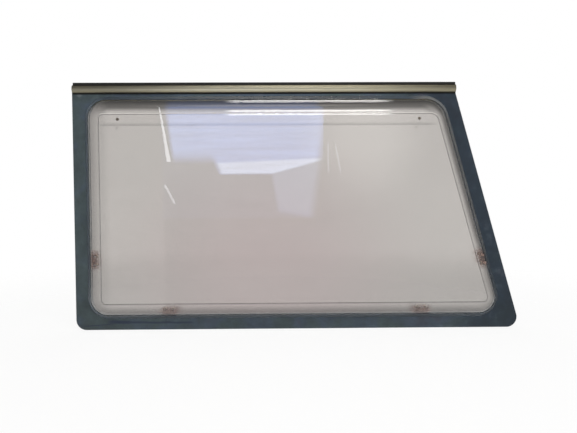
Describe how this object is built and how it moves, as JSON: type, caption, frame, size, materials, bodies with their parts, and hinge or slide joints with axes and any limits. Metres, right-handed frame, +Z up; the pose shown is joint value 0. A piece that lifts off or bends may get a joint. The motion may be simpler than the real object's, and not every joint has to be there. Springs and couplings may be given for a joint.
{
  "type": "caravan side window",
  "caption": "Double-glazed acrylic caravan window with one slanted side, a formed inner pane, a dark seal border and a top hinge rail.",
  "frame": {"origin": "on the cabin face of the hinge strip's flap, at the middle of its length and height", "axes": "+X to the right seen from the cabin, +Y out of the caravan, +Z up"},
  "size_m": [0.9727, 0.0342, 0.5396],
  "materials": {
    "outer_pane": "clear acrylic sheet with a faint warm grey tint",
    "inner_pane": "clear formed acrylic with a faint warm grey tint and fine scratches",
    "border_coating": "matte slate-blue coating, mottled and streaked by the seal",
    "bond_bead": "cured clear grey adhesive",
    "hinge_rail": "champagne anodised, ribbed along its length",
    "hinge_strip": "black flexible strip, dulled by weather",
    "glazing_strip": "black rubber",
    "fixing_block": "reddish-brown bonded resin block",
    "brass_insert": "dull turned brass",
    "vent_plug": "dark moulded plug"
  },
  "bodies": {
    "root": {"outer_pane": "outer_pane", "border_coating": "border_coating", "bond_bead": "bond_bead", "inner_pane": "inner_pane", "hinge_rail": "hinge_rail", "hinge_strip": "hinge_strip", "glazing_strip": "glazing_strip", "left_catch_block": "fixing_block", "left_catch_insert_1": "brass_insert", "left_catch_insert_2": "brass_insert", "right_catch_block": "fixing_block", "right_catch_insert_1": "brass_insert", "right_catch_insert_2": "brass_insert", "left_stay_block": "fixing_block", "left_stay_insert_1": "brass_insert", "left_stay_insert_2": "brass_insert", "right_stay_block": "fixing_block", "right_stay_insert_1": "brass_insert", "right_stay_insert_2": "brass_insert", "left_vent_plug": "vent_plug", "right_vent_plug": "vent_plug"}
  },
  "joints": []
}
